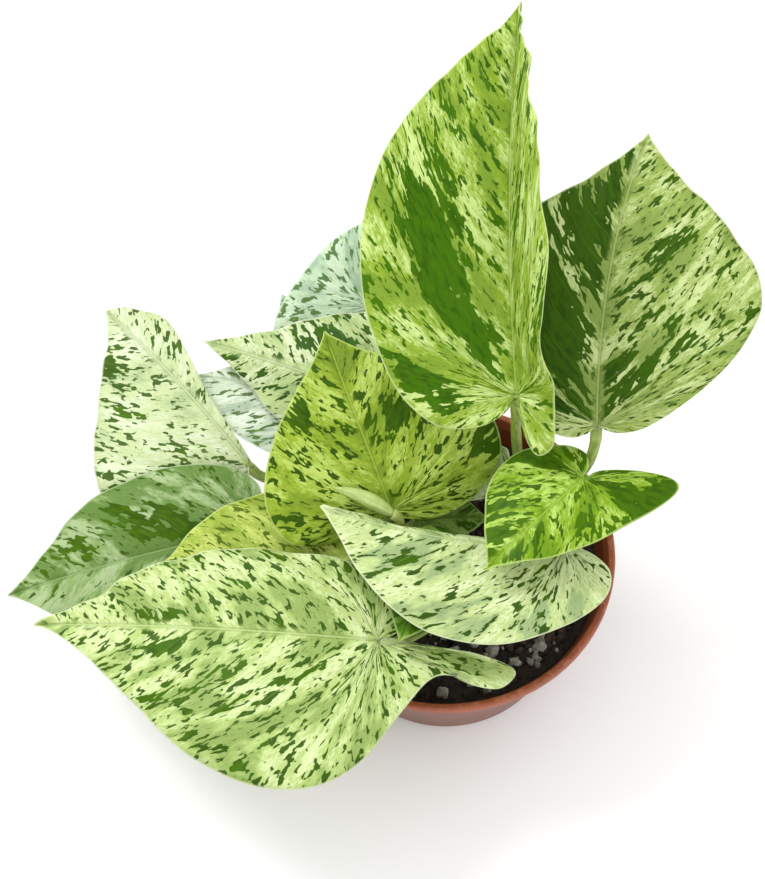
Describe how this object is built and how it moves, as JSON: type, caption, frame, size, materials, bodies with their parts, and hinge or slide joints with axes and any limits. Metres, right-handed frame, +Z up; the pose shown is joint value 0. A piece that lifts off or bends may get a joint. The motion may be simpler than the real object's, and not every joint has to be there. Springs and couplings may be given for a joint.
{
  "type": "potted pothos plant",
  "caption": "Young variegated pothos with marbled green and cream heart-shaped leaves on slender stalks, growing from soil in a shallow tapered terracotta-coloured nursery pot.",
  "frame": {"origin": "middle of the pot's underside, on the surface that the pot stands on", "axes": "+Z up, along the pot's axis; -Y towards the side where the soil shows, with most leaves reaching to -X and +Y"},
  "size_m": [0.2305, 0.2111, 0.1751],
  "materials": {
    "pot_plastic": "satin moulded plastic, terracotta colour",
    "potting_soil": "moist peat with perlite grains",
    "stem_skin": "smooth green stem",
    "stalk_skin": "smooth yellow-green stalk",
    "leaf_blade": "waxy leaf, green marbled with cream",
    "leaf_rolled": "smooth pale green rolled leaf"
  },
  "bodies": {
    "root": {"pot": "pot_plastic", "soil": "potting_soil", "stem_left": "stem_skin", "stem_front": "stem_skin", "stem_right": "stem_skin", "stem_back": "stem_skin", "stem_far": "stem_skin", "stem_rear": "stem_skin", "stalk_01": "stalk_skin", "stalk_02": "stalk_skin", "stalk_03": "stalk_skin", "stalk_04": "stalk_skin", "stalk_05": "stalk_skin", "stalk_06": "stalk_skin", "stalk_07": "stalk_skin", "stalk_08": "stalk_skin", "stalk_09": "stalk_skin", "stalk_10": "stalk_skin", "stalk_11": "stalk_skin", "stalk_12": "stalk_skin", "stalk_13": "stalk_skin", "stalk_14": "stalk_skin", "stalk_15": "stalk_skin", "stalk_rolled_leaf": "stalk_skin", "leaf_01": "leaf_blade", "leaf_02": "leaf_blade", "leaf_03": "leaf_blade", "leaf_04": "leaf_blade", "leaf_05": "leaf_blade", "leaf_06": "leaf_blade", "leaf_07": "leaf_blade", "leaf_08": "leaf_blade", "leaf_09": "leaf_blade", "leaf_10": "leaf_blade", "leaf_11": "leaf_blade", "leaf_12": "leaf_blade", "leaf_13": "leaf_blade", "leaf_14": "leaf_blade", "leaf_15": "leaf_blade", "rolled_leaf": "leaf_rolled"}
  },
  "joints": []
}
